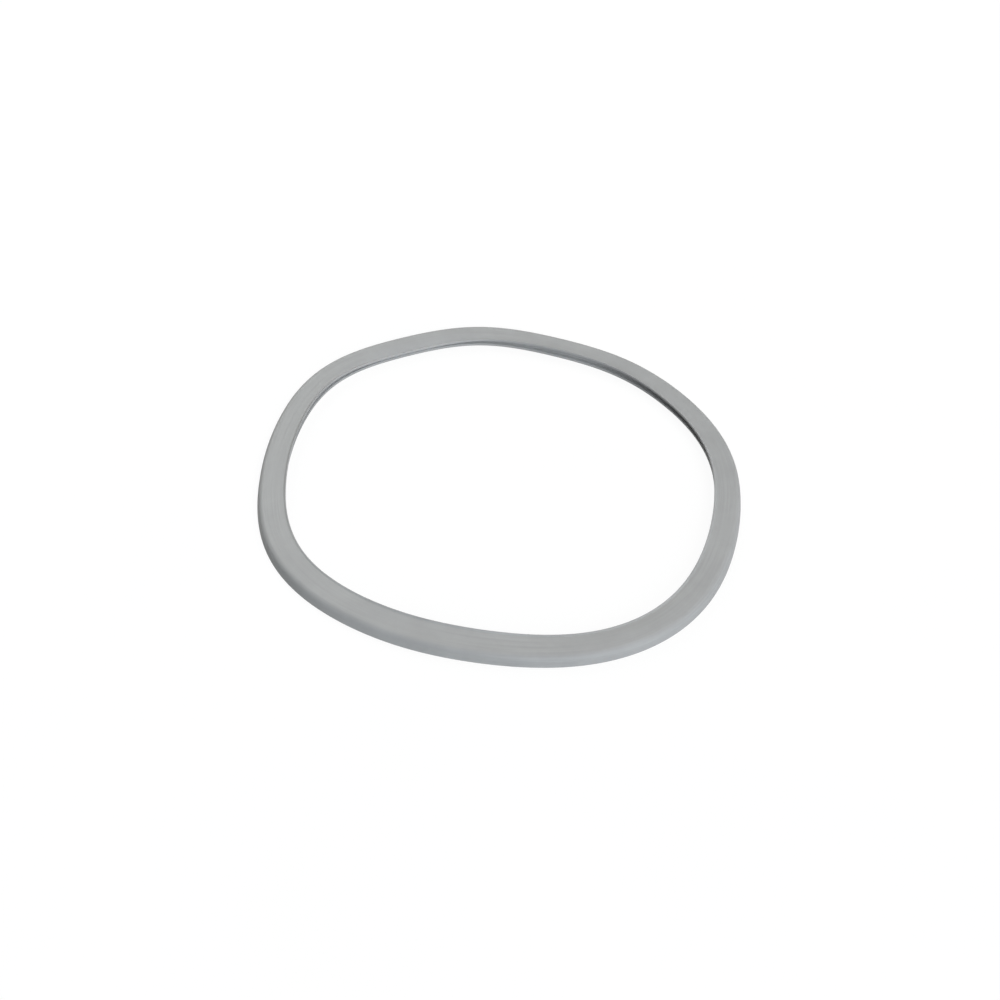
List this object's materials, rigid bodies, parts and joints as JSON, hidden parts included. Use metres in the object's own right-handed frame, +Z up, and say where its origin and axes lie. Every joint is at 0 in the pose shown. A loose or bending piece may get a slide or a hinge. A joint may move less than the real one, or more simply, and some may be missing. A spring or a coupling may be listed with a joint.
{
  "type": "pressure cooker sealing ring",
  "caption": "Round silicone sealing ring for a stovetop pressure cooker lid: a flat, soft grey band with a C section that opens inwards, lying loose on its lower lip.",
  "frame": {"origin": "middle of the ring's bounding box, on the plane of its underside", "axes": "+Z up, away from the underside and through the ring's hole; +Y towards the far side of the ring as it lies, +X to the right"},
  "size_m": [0.236, 0.2378, 0.0069],
  "materials": {
    "silicone": "matte light grey moulded silicone rubber with a soft sheen"
  },
  "bodies": {
    "root": {"sealing_ring": "silicone"}
  },
  "joints": []
}
